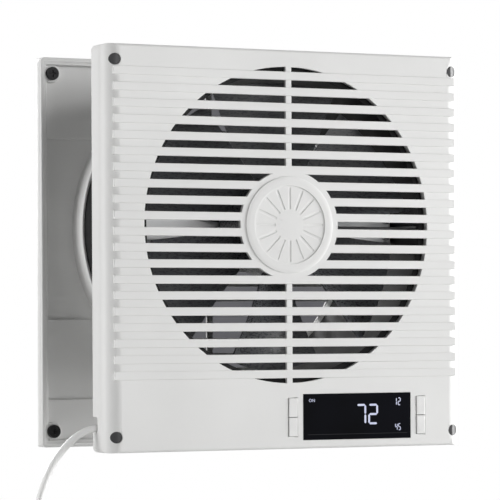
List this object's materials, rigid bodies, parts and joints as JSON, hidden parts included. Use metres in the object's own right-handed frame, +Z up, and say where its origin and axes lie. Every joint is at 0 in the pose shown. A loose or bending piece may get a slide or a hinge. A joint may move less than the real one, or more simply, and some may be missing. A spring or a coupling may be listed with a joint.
{
  "type": "room to room fan",
  "caption": "Louvred through-wall fan: square front unit with display and buttons, black telescoping duct, plain rear unit and a hanging power cord.",
  "frame": {"origin": "on the duct axis, in the plane of the wall that the front unit sits on", "axes": "+X right as seen from the front room, +Y along the duct into the wall, +Z up"},
  "size_m": [0.3169, 0.1317, 0.4144],
  "materials": {
    "white_shell": "fine satin white moulded plastic",
    "badge_white": "smooth white moulded plastic",
    "button_white": "smooth white moulded plastic",
    "plug_grey": "dark grey plastic",
    "sleeve_black": "black moulded plastic",
    "window_black": "glossy black window",
    "panel_dark": "display panel",
    "board_green": "circuit board",
    "switch_black": "black switch body",
    "blade_dark": "dark glossy plastic",
    "bracket_grey": "light grey plastic",
    "screw_black": "black screw steel",
    "steel": "plain steel",
    "stator_iron": "laminated iron",
    "magnet_dark": "sintered magnet",
    "copper": "enamelled copper wire",
    "lead_grey": "grey insulated lead",
    "cord_white": "smooth white sheath",
    "tie_black": "black strap",
    "blade_brass": "plated blades"
  },
  "bodies": {
    "front_unit": {"front_cover": "white_shell", "front_base": "white_shell", "display_holder": "white_shell", "center_badge": "badge_white", "corner_plugs": "plug_grey", "front_sleeve": "sleeve_black", "display_window": "window_black", "lcd_panel": "panel_dark", "control_board": "board_green", "motor_board": "board_green", "tact_switches": "switch_black", "motor_bracket": "bracket_grey", "base_screws": "screw_black", "bracket_screws": "steel", "board_screws": "steel", "ball_bearings": "steel", "motor_stator": "stator_iron", "motor_windings": "copper", "motor_lead": "lead_grey", "supply_lead": "lead_grey", "power_cord": "cord_white", "cord_coil": "cord_white", "cord_gland": "cord_white", "plug_body": "cord_white", "cord_tie": "tie_black", "plug_blades": "blade_brass"},
    "impeller_rotor": {"impeller": "blade_dark", "rotor_yoke": "steel", "rotor_magnet": "magnet_dark", "motor_shaft": "steel", "shaft_circlip": "steel"},
    "rear_unit": {"rear_base": "white_shell", "rear_cover": "white_shell", "rear_sleeve": "sleeve_black", "rear_screws": "screw_black"},
    "button_left_upper_cap": {"button_left_upper": "button_white"},
    "button_left_lower_cap": {"button_left_lower": "button_white"},
    "button_right_upper_cap": {"button_right_upper": "button_white"},
    "button_right_lower_cap": {"button_right_lower": "button_white"}
  },
  "joints": [
    {"name": "impeller_spin", "type": "hinge", "parent": "front_unit", "child": "impeller_rotor", "pos_m": [0, 0, 0], "axis": [0, 1, 0], "continuous": true},
    {"name": "rear_slide", "type": "slide", "parent": "front_unit", "child": "rear_unit", "axis": [0, 1, 0], "range_m": [-0.014, 0.04]},
    {"name": "button_left_upper_press", "type": "slide", "parent": "front_unit", "child": "button_left_upper_cap", "axis": [0, 1, 0], "range_m": [0, 0.0008], "stiffness_N_per_m": 900},
    {"name": "button_left_lower_press", "type": "slide", "parent": "front_unit", "child": "button_left_lower_cap", "axis": [0, 1, 0], "range_m": [0, 0.0008], "stiffness_N_per_m": 900},
    {"name": "button_right_upper_press", "type": "slide", "parent": "front_unit", "child": "button_right_upper_cap", "axis": [0, 1, 0], "range_m": [0, 0.0008], "stiffness_N_per_m": 900},
    {"name": "button_right_lower_press", "type": "slide", "parent": "front_unit", "child": "button_right_lower_cap", "axis": [0, 1, 0], "range_m": [0, 0.0008], "stiffness_N_per_m": 900}
  ]
}
